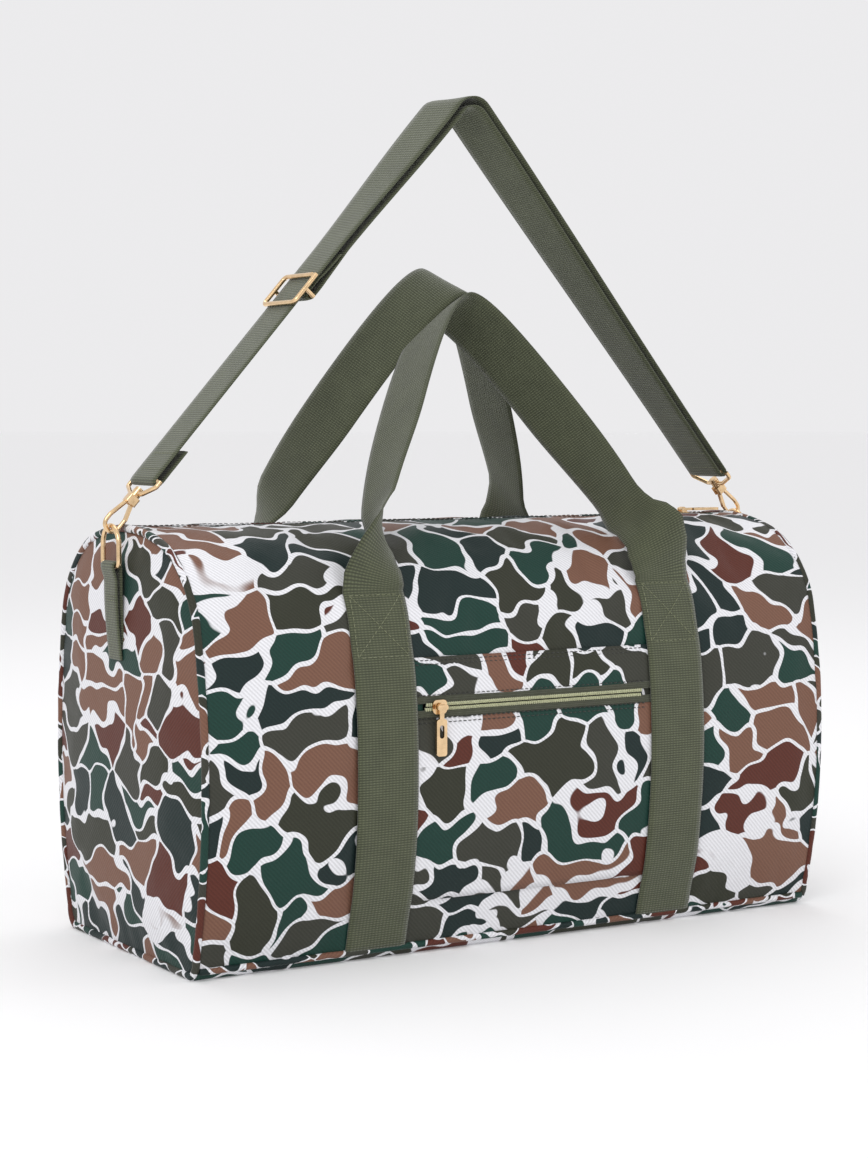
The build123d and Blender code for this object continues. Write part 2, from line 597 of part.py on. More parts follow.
bar_plane = Plane(origin=leg_point(-1, bar_out, ADJUSTER_RUN), x_dir=strap.z_dir, z_dir=strap.x_dir)
with BuildPart() as adjuster_bar:
    with BuildSketch(bar_plane.offset(-ADJUSTER_SIDE)):
        Circle(ADJUSTER_BAR)
    extrude(amount=2 * ADJUSTER_SIDE)
finish(adjuster_bar.part, "adjuster_bar")

with BuildPart() as adjuster_webbing_end:
    with BuildSketch(bar_plane.offset(-STRAP_WIDTH / 2)):
        Circle(eye)
        with Locations((ADJUSTER_TAIL / 2, 0)):
            Rectangle(ADJUSTER_TAIL, 2 * eye)
        Circle(eye - WEB_THICKNESS, mode=Mode.SUBTRACT)
        with Locations((ADJUSTER_TAIL / 2, 0)):
            Rectangle(ADJUSTER_TAIL, 2 * (eye - WEB_THICKNESS), mode=Mode.SUBTRACT)
    extrude(amount=STRAP_WIDTH)
finish(adjuster_webbing_end.part, "adjuster_webbing_end")
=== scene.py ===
"""Looks of the printed duffel bag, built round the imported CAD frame.  Metres, +Z up, -Y front."""
import json
import math

import bpy
from mathutils import Matrix, Vector, noise
from mathutils.bvhtree import BVHTree


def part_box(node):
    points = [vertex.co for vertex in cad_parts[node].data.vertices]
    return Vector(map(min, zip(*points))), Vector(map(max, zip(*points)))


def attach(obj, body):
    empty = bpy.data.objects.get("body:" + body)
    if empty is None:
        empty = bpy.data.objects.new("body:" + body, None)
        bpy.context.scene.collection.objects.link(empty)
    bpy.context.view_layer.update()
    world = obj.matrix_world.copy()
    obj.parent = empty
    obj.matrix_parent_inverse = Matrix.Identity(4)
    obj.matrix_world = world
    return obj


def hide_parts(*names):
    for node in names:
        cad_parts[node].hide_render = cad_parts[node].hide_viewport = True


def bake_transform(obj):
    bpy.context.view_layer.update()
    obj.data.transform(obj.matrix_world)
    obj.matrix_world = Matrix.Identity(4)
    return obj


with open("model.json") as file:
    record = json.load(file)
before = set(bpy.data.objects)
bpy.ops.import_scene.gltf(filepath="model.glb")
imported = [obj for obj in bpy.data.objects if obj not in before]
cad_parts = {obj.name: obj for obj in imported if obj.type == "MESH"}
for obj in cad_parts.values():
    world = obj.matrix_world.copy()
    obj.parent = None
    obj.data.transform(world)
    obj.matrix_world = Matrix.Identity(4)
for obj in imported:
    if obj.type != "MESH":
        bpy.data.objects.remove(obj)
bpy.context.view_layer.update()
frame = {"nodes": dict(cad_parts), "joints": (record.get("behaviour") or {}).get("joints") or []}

MM = 0.001


# ---------- sizes, from the frame where it has them
HALF = -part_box("end_piping_left")[0].x - 1 * MM  # half length, to the end panels' outer faces
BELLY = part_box("back_panel")[1][1]  # half depth at the widest
BASE = BELLY - 27 * MM  # half depth at the floor
SEAM_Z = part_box("bottom_panel")[1][2]
CROWN = 290 * MM
SLOT = 6.5 * MM  # half the gap over the main zip
WEB = 46 * MM
WEB_T = 1.6 * MM
PANEL_T = 1.8 * MM
STRAP_X = (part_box("front_strap_right")[0][0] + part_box("front_strap_right")[1][0]) / 2
STRAP_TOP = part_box("front_strap_right")[1][2]
POCKET_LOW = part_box("pocket_front_panel")[0]
POCKET_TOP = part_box("pocket_top_strip")[1][2]
ZIP_Z = (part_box("pocket_zip_teeth")[0][2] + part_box("pocket_zip_teeth")[1][2]) / 2
JOINTS = {joint["name"]: joint for joint in frame["joints"]}

# ---------- camera, floor and lights
CAMERA_AT = (-0.9221, -1.5062, 0.3626)
CAMERA_TURN = 31.19
CAMERA_PITCH = -3.77
camera_data = bpy.data.cameras.new("camera")
camera_data.lens = 75.8
camera_data.sensor_width = 36
camera = bpy.data.objects.new("camera", camera_data)
bpy.context.scene.collection.objects.link(camera)
camera.location = CAMERA_AT
camera.rotation_euler = (math.radians(90 + CAMERA_PITCH), 0, math.radians(-CAMERA_TURN))
bpy.context.scene.camera = camera
bpy.context.scene.view_settings.view_transform = "Standard"


LIGHTS_AIM = Vector((0, 0, 0.2))
STUDIO = (0.9, 0.895, 0.908, 1)


def area_light(name, at, size, power):
    data = bpy.data.lights.new(name, "AREA")
    data.size = size
    data.energy = power
    lamp = bpy.data.objects.new(name, data)
    bpy.context.scene.collection.objects.link(lamp)
    lamp.location = at
    lamp.rotation_euler = (LIGHTS_AIM - Vector(at)).to_track_quat("-Z", "Y").to_euler()


area_light("key", (-1.7, -1.6, 2.0), 1.3, 20)
area_light("fill", (1.9, -1.5, 1.2), 1.6, 4)
area_light("top", (0.2, 0.9, 2.3), 1.6, 12)
world = bpy.data.worlds.new("studio")
bpy.context.scene.world = world
world.use_nodes = True
world.node_tree.nodes["Background"].inputs[0].default_value = STUDIO
world.node_tree.nodes["Background"].inputs[1].default_value = 0.93


# ---------- node helpers
class Shader:
    """A material with a small helper for adding and linking nodes."""

    def __init__(self, name, **sockets):
        self.material = bpy.data.materials.new(name)
        self.material.use_nodes = True
        self.tree = self.material.node_tree
        self.surface = self.tree.nodes["Principled BSDF"]
        for socket, value in sockets.items():
            self.surface.inputs[socket.replace("_", " ")].default_value = value

    def node(self, kind, inputs=None, **settings):
        made = self.tree.nodes.new("ShaderNode" + kind)
        for key, value in settings.items():
            setattr(made, key, value)
        for key, value in (inputs or {}).items():
            self.put(made.inputs[key], value)
        return made

    def put(self, socket, value):
        if isinstance(value, bpy.types.NodeSocket):
            self.tree.links.new(value, socket)
        else:
            socket.default_value = value

    def math(self, operation, a, b=0.0, clamp=False):
        made = self.node("Math", {0: a, 1: b}, operation=operation, use_clamp=clamp)
        return made.outputs[0]

    def vector(self, operation, a, b=(0, 0, 0)):
        return self.node("VectorMath", {0: a, 1: b}, operation=operation).outputs[0]

    def mix(self, factor, a, b):
        made = self.node("Mix", data_type="RGBA")
        self.put(made.inputs["Factor"], factor)
        self.put(made.inputs[6], a)
        self.put(made.inputs[7], b)
        return made.outputs[2]

    def noise(self, at, scale, detail=2.0, rough=0.5):
        return self.node("TexNoise", {"Vector": at, "Scale": scale, "Detail": detail, "Roughness": rough})

    def smooth(self, value, low, high):
        """0 below low and 1 above high, with a smooth step between them."""
        made = self.node("MapRange", {0: value, 1: low, 2: high}, interpolation_type="SMOOTHSTEP")
        return made.outputs[0]

    def shift(self, noise, reach):
        """A noise colour as a shift either way along each axis."""
        centred = self.vector("SUBTRACT", noise.outputs["Color"], (0.5, 0.5, 0.5))
        return self.vector("MULTIPLY", centred, reach)

    def bump(self, height, strength, distance, normal=None):
        made = self.node("Bump", {"Height": height, "Strength": strength, "Distance": distance})
        if normal is not None:
            self.put(made.inputs["Normal"], normal)
        return made.outputs[0]

    def finish(self, colour=None, roughness=None, normal=None):
        for socket, value in (("Base Color", colour), ("Roughness", roughness), ("Normal", normal)):
            if value is not None:
                self.put(self.surface.inputs[socket], value)
        return self.material


def linear(red, green, blue):
    """sRGB 0-255 to a linear colour."""
    def channel(v):
        v = v / 255
        return v / 12.92 if v <= 0.04045 else ((v + 0.055) / 1.055) ** 2.4
    return (channel(red), channel(green), channel(blue), 1.0)


CAMO = (
    (0.00, linear(126, 88, 70)), (0.26, linear(14, 37, 36)), (0.45, linear(10, 58, 48)),
    (0.62, linear(48, 50, 36)), (0.77, linear(58, 59, 50)), (0.91, linear(92, 40, 26)),
)
SWIRL = (0.064, 0.052, 0)  # how far the print is bent, in metres of cloth
LOBES = (0.034, 0.031, 0)
STRETCH = (0.8, 1.15, 0)
BLOTCHES_PER_M = 31


def camo_material(name, offset=(0, 0, 0), pitch=1.0):
    """Twill printed with rounded blotches on white, drawn in the cloth's own flat coordinates."""
    s = Shader(name, Sheen_Weight=0.06, Sheen_Roughness=0.4, Specular_IOR_Level=0.35)
    flat = s.node("UVMap", uv_map="flat").outputs[0]
    at = s.vector("ADD", flat, offset)
    big = s.noise(at, 13 * pitch, 0.0)
    small = s.noise(s.vector("ADD", at, (3.1, 1.7, 0)), 44 * pitch, 0.0)
    swirl, lobes = s.shift(big, SWIRL), s.shift(small, LOBES)
    warped = s.vector("MULTIPLY", s.vector("ADD", s.vector("ADD", at, swirl), lobes), STRETCH)
    cells = {"Vector": warped, "Scale": BLOTCHES_PER_M * pitch, "Randomness": 1.0}
    near = s.node("TexVoronoi", cells, feature="F1", voronoi_dimensions="2D")
    second = s.node("TexVoronoi", cells, feature="F2", voronoi_dimensions="2D")
    between = s.math("SUBTRACT", second.outputs["Distance"], near.outputs["Distance"])
    pick = s.node("SeparateColor", {0: near.outputs["Color"]}).outputs[0]
    ramp = s.node("ValToRGB", {0: pick})
    ramp.color_ramp.interpolation = "CONSTANT"
    for k, (place, colour) in enumerate(CAMO):
        stop = ramp.color_ramp.elements[k] if k < 2 else ramp.color_ramp.elements.new(place)
        stop.position = place
        stop.color = colour
    wander = s.noise(at, 24, 1.0).outputs[0]
    gap = s.math("ADD", s.math("MULTIPLY", wander, 0.13), 0.035)
    ink = s.smooth(s.math("SUBTRACT", between, gap), 0.0, 0.022)
    twill = s.node("TexWave", {"Vector": flat, "Scale": 200.0}, wave_type="BANDS", bands_direction="DIAGONAL")
    yarn = s.noise(flat, 900, 2.0).outputs[0]
    shade = s.math("ADD", s.math("MULTIPLY", twill.outputs["Fac"], 0.2), s.math("MULTIPLY", yarn, 0.2))
    colour = s.mix(ink, linear(243, 243, 247), ramp.outputs[0])
    dull = s.mix(s.math("ADD", shade, -0.06, clamp=True), colour, (0, 0, 0, 1))
    height = s.math("ADD", s.math("MULTIPLY", twill.outputs["Fac"], 0.8), s.math("MULTIPLY", yarn, 0.5))
    crease = s.noise(flat, 38, 3.0).outputs[0]
    soft = s.bump(crease, 0.25, 0.0025)
    normal = s.bump(height, 0.35, 0.00035, soft)
    rough = s.math("ADD", s.math("MULTIPLY", yarn, 0.2), 0.5)
    return s.finish(dull, rough, normal)


def webbing_material(name, base, dark, rib=1.7 * MM):
    """Ribbed polyester webbing: u runs across the width, v along the length."""
    s = Shader(name, Sheen_Weight=0.3, Sheen_Roughness=0.5, Specular_IOR_Level=0.3)
    flat = s.node("UVMap", uv_map="flat").outputs[0]
    ribs = s.node("TexWave", {"Vector": flat, "Scale": 0.314 / rib}, bands_direction="Y").outputs["Fac"]
    ends = s.node("TexWave", {"Vector": flat, "Scale": 0.21 / rib}, bands_direction="X").outputs["Fac"]
    yarn = s.noise(flat, 1100, 2.0).outputs[0]
    worn = s.noise(flat, 60, 3.0).outputs[0]
    weave = s.math("MULTIPLY", ribs, s.math("ADD", s.math("MULTIPLY", ends, 0.55), 0.45))
    tone = s.math("ADD", s.math("MULTIPLY", weave, 0.75), s.math("MULTIPLY", worn, 0.3), clamp=True)
    colour = s.mix(tone, dark, base)
    height = s.math("ADD", weave, s.math("MULTIPLY", yarn, 0.4))
    normal = s.bump(height, 0.7, 0.0005)
    rough = s.math("ADD", s.math("MULTIPLY", yarn, 0.25), 0.55)
    return s.finish(colour, rough, normal)


def metal_material(name, colour, rough):
    s = Shader(name, Metallic=1.0, Coat_Weight=0.3, Coat_Roughness=0.08)
    at = s.node("TexCoord").outputs["Object"]
    cloud = s.noise(at, 180, 3.0).outputs[0]
    scratch = s.noise(s.vector("MULTIPLY", at, (300, 300, 2200)), 1.0, 2.0).outputs[0]
    tint = s.mix(s.smooth(cloud, 0.3, 0.75), colour, [c * 0.82 for c in colour[:3]] + [1])
    shine = s.math("ADD", s.math("MULTIPLY", scratch, 0.12), rough)
    return s.finish(tint, shine, s.bump(scratch, 0.06, 0.0001))


def yarn_material(name, colour, rough=0.6, scale=1500.0):
    s = Shader(name, Sheen_Weight=0.2, Sheen_Roughness=0.5)
    at = s.node("TexCoord").outputs["Object"]
    fibre = s.noise(at, scale, 2.0).outputs[0]
    dark = [c * 0.55 for c in colour[:3]] + [1]
    return s.finish(s.mix(s.smooth(fibre, 0.3, 0.7), dark, colour), rough, s.bump(fibre, 0.4, 0.0002))


camo = camo_material("camo_twill")
camo_end = camo_material("camo_twill_end", offset=(0.71, 0.33, 0), pitch=1.05)
camo_pocket = camo_material("camo_twill_pocket", offset=(0.018, -0.012, 0))
camo_cord = camo_material("camo_twill_piping", offset=(1.3, 0.9, 0), pitch=1.6)
web = webbing_material("webbing_olive", linear(104, 110, 82), linear(42, 46, 31))
tape_cloth = webbing_material("zip_tape_olive", linear(84, 88, 64), linear(36, 38, 26), rib=0.9 * MM)
gold = metal_material("gold_plate", linear(240, 206, 160), 0.16)
coil_plastic = yarn_material("coil_sage", linear(206, 208, 168), 0.4)
thread_pale = yarn_material("thread_olive", linear(132, 136, 104))
thread_dark = yarn_material("thread_dark", linear(34, 36, 30))
lining_cloth = yarn_material("lining_black", linear(40, 40, 42), 0.7)
board_plastic = yarn_material("base_board", linear(52, 52, 54), 0.5, 300.0)
floor_paint = Shader("floor_paper", Roughness=0.95, Specular_IOR_Level=0.1, Emission_Strength=0.16,
                     Emission_Color=STUDIO).finish((0.8, 0.8, 0.8, 1))


# ---------- mesh helpers
def mesh_object(name, points, faces, material, uvs=None, smooth=True):
    mesh = bpy.data.meshes.new(name)
    mesh.from_pydata([tuple(p) for p in points], [], faces)
    mesh.materials.append(material)
    layer = mesh.uv_layers.new(name="flat")
    for loop in mesh.loops:
        at = uvs[loop.vertex_index] if uvs else (points[loop.vertex_index][0], points[loop.vertex_index][2])
        layer.data[loop.index].uv = at
    mesh.polygons.foreach_set("use_smooth", [smooth] * len(mesh.polygons))
    mesh.validate()
    made = bpy.data.objects.new(name, mesh)
    bpy.context.scene.collection.objects.link(made)
    return made


def place(piece, body, slot, *nodes):
    """Ride on a body and stand for CAD nodes, which are hidden; slot is not used."""
    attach(piece, body)
    if nodes:
        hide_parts(*nodes)
    return piece


def grid(rows, columns, closed=False):
    """Quads between rows of points; closed joins the last column to the first."""
    faces = []
    for i in range(rows - 1):
        for j in range(columns if closed else columns - 1):
            k = (j + 1) % columns
            faces.append((i * columns + j, i * columns + k, (i + 1) * columns + k, (i + 1) * columns + j))
    return faces


def solidify(piece, thickness, offset=-1.0):
    made = piece.modifiers.new("thickness", "SOLIDIFY")
    made.thickness = thickness
    made.offset = offset
    apply_all(piece)


def apply_all(piece):
    """Bake a piece's modifiers into its mesh."""
    graph = bpy.context.evaluated_depsgraph_get()
    mesh = bpy.data.meshes.new_from_object(piece.evaluated_get(graph))
    piece.modifiers.clear()
    piece.data = mesh


def tube_loop(name, centres, radius, material, wobble, sides=10):
    """Closed tube along points, with flat coordinates round and along it."""
    points, uvs = [], []
    count = len(centres)
    run = 0.0
    for i, centre in enumerate(centres):
        along = (centres[(i + 1) % count] - centres[i - 1]).normalized()
        side = along.cross(Vector((1, 0, 0)))
        side = side.normalized() if side.length > 0.1 else Vector((0, 1, 0))
        other = along.cross(side)
        run += (centre - centres[i - 1]).length if i else 0.0
        swell = radius * (1 + wobble * noise.noise(centre * 90))
        for k in range(sides):
            turn = 2 * math.pi * k / sides
            points.append(centre + (side * math.cos(turn) + other * math.sin(turn)) * swell)
            uvs.append((run, turn * radius))
    faces = grid(count, sides, closed=True)
    last = (count - 1) * sides
    faces += [(last + k, last + (k + 1) % sides, (k + 1) % sides, k) for k in range(sides)]
    return mesh_object(name, points, faces, material, uvs)


def ribbon(name, stations, width, thickness, material, across=8):
    """Flat webbing through stations of (centre, direction, face normal), with rounded edges."""
    ring = []
    for k in range(across + 1):
        ring.append((k / across - 0.5, 0.5 if 0 < k < across else 0.22))
    ring += [(a, -b) for a, b in reversed(ring)]
    points, uvs = [], []
    run = 0.0
    for i, (centre, along, normal) in enumerate(stations):
        run += (centre - stations[i - 1][0]).length if i else 0.0
        side = along.cross(normal).normalized()
        normal = side.cross(along).normalized()
        for a, b in ring:
            points.append(centre + side * (a * width) + normal * (b * thickness))
            uvs.append((a * width, run))
    sides = len(ring)
    faces = grid(len(stations), sides, closed=True)
    last = (len(stations) - 1) * sides
    faces += [tuple(range(sides))[::-1], tuple(last + k for k in range(sides))]
    return mesh_object(name, points, faces, material, uvs)


def stitches(name, rows, material, length=3.2 * MM, gap=1.1 * MM, radius=0.34 * MM):
    """Rows of thread: each row is a list of (point, normal); every stitch is a small spindle."""
    points, faces = [], []
    for row in rows:
        marks = resample(row, length + gap)
        for (start, up), (stop, _) in zip(marks, marks[1:]):
            along = (stop - start).normalized()
            side = along.cross(up).normalized()
            base = len(points)
            for share, swell in ((0.04, 0.35), (0.2, 1.0), (0.6, 1.0), (0.74, 0.35)):
                centre = start.lerp(stop, share) + up * (radius * 0.55 * swell)
                for k in range(6):
                    turn = math.pi * k / 3
                    points.append(centre + side * (math.cos(turn) * radius * swell)
                                  + up * (math.sin(turn) * radius * swell))
            faces += [tuple(base + v for v in quad) for quad in grid(4, 6, closed=True)]
            faces += [tuple(base + k for k in range(6))[::-1], tuple(base + 18 + k for k in range(6))]
    return mesh_object(name, points, faces, material)


def resample(row, step):
    """Evenly spaced (point, normal) pairs along a row."""
    marks, carry = [row[0]], 0.0
    for (a, na), (b, nb) in zip(row, row[1:]):
        gap = (b - a).length
        if gap == 0:
            continue
        at = step - carry
        while at <= gap:
            marks.append((a.lerp(b, at / gap), na.lerp(nb, at / gap).normalized()))
            at += step
        carry = gap - (at - step)
    return marks


# ---------- the bag's cross-section
def arc(a, b, c, count):
    """Points on the circle through a, b and c, from a up to but not including c."""
    (ax, ay), (bx, by), (cx, cy) = a, b, c
    d = 2 * (ax * (by - cy) + bx * (cy - ay) + cx * (ay - by))
    ux = ((ax**2 + ay**2) * (by - cy) + (bx**2 + by**2) * (cy - ay) + (cx**2 + cy**2) * (ay - by)) / d
    uy = ((ax**2 + ay**2) * (cx - bx) + (bx**2 + by**2) * (ax - cx) + (cx**2 + cy**2) * (bx - ax)) / d
    radius = math.hypot(ax - ux, ay - uy)
    start = math.atan2(ay - uy, ax - ux)
    turn = (math.atan2(cy - uy, cx - ux) - start + math.pi) % (2 * math.pi) - math.pi
    return [(ux + radius * math.cos(start + turn * k / count), uy + radius * math.sin(start + turn * k / count))
            for k in range(count)]


def half_outline():
    """Crown to the middle of the base, as (distance from the middle, height)."""
    shoulder = (BELLY - 12 * MM, CROWN - 57 * MM)
    crown = (48 * MM, CROWN - 6 * MM)
    edge = (BASE + 12 * MM, 16 * MM)
    points = arc((0, CROWN), (24 * MM, CROWN - 1.5 * MM), crown, 16)
    points += arc(crown, (BELLY - 33 * MM, CROWN - 26 * MM), shoulder, 24)
    points += arc(shoulder, (BELLY, 135 * MM), edge, 60)
    points += arc(edge, (BASE + 8.5 * MM, 5 * MM), (BASE, 0), 8)
    points += [(BASE, 0), (BASE / 2, 0), (0, 0)]
    return points


HALF_OUTLINE = half_outline()
OUTLINE_RUN = [0.0]
for a, b in zip(HALF_OUTLINE, HALF_OUTLINE[1:]):
    OUTLINE_RUN.append(OUTLINE_RUN[-1] + math.dist(a, b))
GIRTH = OUTLINE_RUN[-1]


def outline_at(run):
    """Point and outward normal on the half outline, a given distance from the crown."""
    run = min(max(run, 0.0), GIRTH - 1e-6)
    k = max(i for i, r in enumerate(OUTLINE_RUN[:-1]) if r <= run)
    a, b = HALF_OUTLINE[k], HALF_OUTLINE[k + 1]
    share = (run - OUTLINE_RUN[k]) / (OUTLINE_RUN[k + 1] - OUTLINE_RUN[k])
    dy, dz = b[0] - a[0], b[1] - a[1]
    size = math.hypot(dy, dz)
    return (a[0] + dy * share, a[1] + dz * share), (-dz / size, dy / size)


def run_at_height(z):
    """Distance from the crown to a height on the side of the bag."""
    for k, (a, b) in enumerate(zip(HALF_OUTLINE, HALF_OUTLINE[1:])):
        if a[1] >= z >= b[1]:
            return OUTLINE_RUN[k] + math.dist(a, b) * (a[1] - z) / (a[1] - b[1] or 1)
    return GIRTH


SEAM_RUN = run_at_height(SEAM_Z)
POCKET_RUNS = run_at_height(POCKET_TOP), run_at_height(POCKET_LOW[2])
STRAP_RUN = run_at_height(STRAP_TOP)


# ---------- cloth
CLOTH_FRAMES = 20
CLOTH_CAP = 5 * MM  # the furthest that the simulation may move a point


def relax(name, points, faces, pins, pressure, growth):
    """Points of a padded fabric panel after a short pressure simulation held at its seams."""
    mesh = bpy.data.meshes.new(name)
    mesh.from_pydata([tuple(p) for p in points], [], faces)
    piece = bpy.data.objects.new(name, mesh)
    bpy.context.scene.collection.objects.link(piece)
    group = piece.vertex_groups.new(name="seams")
    for index, weight in pins.items():
        group.add([index], weight, "REPLACE")
    cloth = piece.modifiers.new("cloth", "CLOTH")
    settings = cloth.settings
    settings.quality = 5
    settings.mass = 0.25
    settings.tension_stiffness = settings.compression_stiffness = 30
    settings.shear_stiffness = 12
    settings.bending_stiffness = 3
    settings.tension_damping = settings.compression_damping = 12
    settings.use_pressure = True
    settings.uniform_pressure_force = pressure
    settings.shrink_min = -growth
    settings.vertex_group_mass = "seams"
    settings.effector_weights.gravity = 0
    cloth.point_cache.frame_start = 1
    cloth.point_cache.frame_end = CLOTH_FRAMES
    scene = bpy.context.scene
    for frame_number in range(1, CLOTH_FRAMES + 1):
        scene.frame_set(frame_number)
    graph = bpy.context.evaluated_depsgraph_get()
    settled = [v.co.copy() for v in piece.evaluated_get(graph).data.vertices]
    scene.frame_set(1)
    bpy.data.objects.remove(piece)
    moved = []
    for before, after in zip(points, settled):
        step = after - before
        moved.append(before + step * (min(1.0, CLOTH_CAP / step.length) if step.length > 0 else 1.0))
    return moved


def ripple(x, run, side):
    """Small folds in the fabric: puckers square to the end seams and soft dents elsewhere."""
    near_end = max(0.0, 1 - (HALF - abs(x)) / 0.06)
    near_base = max(0.0, 1 - (SEAM_RUN - run) / 0.045)
    pucker = noise.noise(Vector((x * 9, run * 55, 3.0 + side))) * near_end ** 1.5
    pleat = noise.noise(Vector((x * 50, run * 9, 7.0 + side))) * near_base ** 1.5
    soft = noise.noise(Vector((x * 13, run * 17, 11.0 + side)))
    fine = noise.noise(Vector((x * 34, run * 30, 5.0 + side)))
    return (1.7 * pucker + 1.3 * pleat + 0.8 * soft + 0.35 * fine) * MM


COLUMNS = 101
ROWS = 61
EDGE_X = HALF - 2.2 * MM
SEAM_REACH = 12 * MM  # how far from a seam the cloth is still held


def skin_points(side):
    """Grid over one side of the bag, from the zip's edge to the bottom seam, and where it is held."""
    points, pins = [], {}
    for i in range(ROWS):
        run = SLOT + (SEAM_RUN - SLOT) * i / (ROWS - 1)
        (y, z), (ny, nz) = outline_at(run)
        for j in range(COLUMNS):
            x = -EDGE_X + 2 * EDGE_X * j / (COLUMNS - 1)
            held = min(1.0, min(EDGE_X - abs(x), run - SLOT, SEAM_RUN - run) / SEAM_REACH)
            push = ripple(x, run, side) * max(held, 0.25 * (i != ROWS - 1))
            under_strap = abs(abs(x) - STRAP_X) < WEB / 2 - 2 * MM and run > STRAP_RUN
            pocket = side < 0 and abs(x) < STRAP_X and POCKET_RUNS[0] - 6 * MM < run
            if pocket:
                push = min(0.0, push) * 0.5
            points.append(Vector((x, side * (y + ny * push), z + nz * push)))
            if held < 0.05 or under_strap or pocket:
                pins[i * COLUMNS + j] = 1.0
            elif held < 0.5:
                pins[i * COLUMNS + j] = 0.35
    return points, pins


SKIN, TREES = {}, {}
for side in (-1, 1):
    panel_faces = grid(ROWS, COLUMNS)
    if side < 0:
        panel_faces = [face[::-1] for face in panel_faces]
    rest, held = skin_points(side)
    SKIN[side] = relax("panel_cloth", rest, panel_faces, held, 3.0, 0.008), panel_faces
    TREES[side] = BVHTree.FromPolygons([tuple(p) for p in SKIN[side][0]], panel_faces)


def surface(side, x, run, lift=0.0):
    """Point and normal on the settled fabric: side -1 front, 1 back; run from the crown."""
    (y, z), (ny, nz) = outline_at(run)
    base = Vector((x, side * y, z))
    normal = Vector((0, side * ny, nz))
    hit = TREES[side].ray_cast(base + normal * 0.03, -normal, 0.06)[0]
    return (hit or base) + normal * lift, normal


def patch(name, side, x_range, runs, lift, thickness, material, body, slot, *nodes, puff,
          step=5 * MM):
    """Piece of fabric lying on the bag between two x values and two distances from the crown."""
    columns = max(3, round((x_range[1] - x_range[0]) / step) + 1)
    rows = max(3, round((runs[1] - runs[0]) / step) + 1)
    points, uvs = [], []
    for i in range(rows):
        run = runs[0] + (runs[1] - runs[0]) * i / (rows - 1)
        for j in range(columns):
            x = x_range[0] + (x_range[1] - x_range[0]) * j / (columns - 1)
            across = math.sin(math.pi * j / (columns - 1)) * math.sin(math.pi * i / (rows - 1))
            wave = noise.noise(Vector((x * 22, run * 30, lift * 900))) * 0.5 * MM
            points.append(surface(side, x, run, lift + puff * across ** 0.6 + wave * across)[0])
            uvs.append((x, -run))
    faces = grid(rows, columns)
    if side < 0:
        faces = [face[::-1] for face in faces]
    made = mesh_object(name, points, faces, material, uvs)
    solidify(made, thickness)
    return place(made, body, slot, *nodes)


# ---------- body of the bag
WINDOW = (POCKET_LOW.x + 4 * MM, run_at_height(POCKET_TOP - 8 * MM), run_at_height(POCKET_LOW.z + 8 * MM))
for side, name in ((-1, "front"), (1, "back")):
    points, faces = SKIN[side]
    uvs = []
    for i in range(ROWS):
        run = SLOT + (SEAM_RUN - SLOT) * i / (ROWS - 1)
        uvs += [(-EDGE_X + 2 * EDGE_X * j / (COLUMNS - 1) + (0 if side < 0 else 2), -run)
                for j in range(COLUMNS)]
    if side < 0:
        kept = []
        for face in faces:
            x, v = (sum(uvs[k][axis] for k in face) / 4 for axis in (0, 1))
            if abs(x) > -WINDOW[0] or not WINDOW[1] < -v < WINDOW[2]:
                kept.append(face)
        faces = kept
    panel = mesh_object(f"{name}_fabric", points, faces, camo, uvs)
    smoother = panel.modifiers.new("smooth", "SUBSURF")
    smoother.levels = 1
    smoother.uv_smooth = "PRESERVE_BOUNDARIES"
    apply_all(panel)
    solidify(panel, PANEL_T)
    place(panel, "bag", "camo_twill", f"{name}_panel")


def under_points():
    """Grid over the base of the bag, from seam to seam."""
    rows = 41
    points, uvs = [], []
    for i in range(rows):
        share = 2 * i / (rows - 1) - 1
        run = SEAM_RUN + (GIRTH - SEAM_RUN) * (1 - abs(share))
        y, z = outline_at(run)[0]
        for j in range(COLUMNS):
            x = -EDGE_X + 2 * EDGE_X * j / (COLUMNS - 1)
            dent = 0.5 * MM * (1 + noise.noise(Vector((x * 16, share * 3, 1)))) * (z < 0.5 * MM)
            points.append(Vector((x, math.copysign(y, share), z + dent)))
            uvs.append((x + 4, share * (GIRTH - SEAM_RUN)))
    return points, uvs, grid(rows, COLUMNS)


points, uvs, faces = under_points()
under = mesh_object("base_fabric", points, faces, camo, uvs)
solidify(under, PANEL_T)
place(under, "bag", "camo_twill", "bottom_panel")


def ring_points(inset, count):
    """Closed outline of an end of the bag, moved inward; counter-clockwise seen from +X."""
    points = []
    for k in range(count):
        share = 2 * k / count
        side, share = (1, share) if share < 1 else (-1, 2 - share)
        (y, z), (ny, nz) = outline_at(share * GIRTH)
        if share in (0, 1):
            ny = 0
        points.append(Vector((0, side * (y - ny * inset), max(z - nz * inset, 0.0))))
    return points


def square_ring(u, v):
    """Fraction round a square's edge for a point of the grid, starting at the middle of its top."""
    r = max(abs(u), abs(v))
    if r == 0:
        return 0.0, 0.0
    a, b = u / r, v / r
    if b >= 1 - 1e-9:
        turn = a if a >= 0 else 8 + a
    elif a >= 1 - 1e-9:
        turn = 2 - b
    elif b <= -1 + 1e-9:
        turn = 4 - a
    else:
        turn = 6 + b
    return r, turn / 8 % 1.0


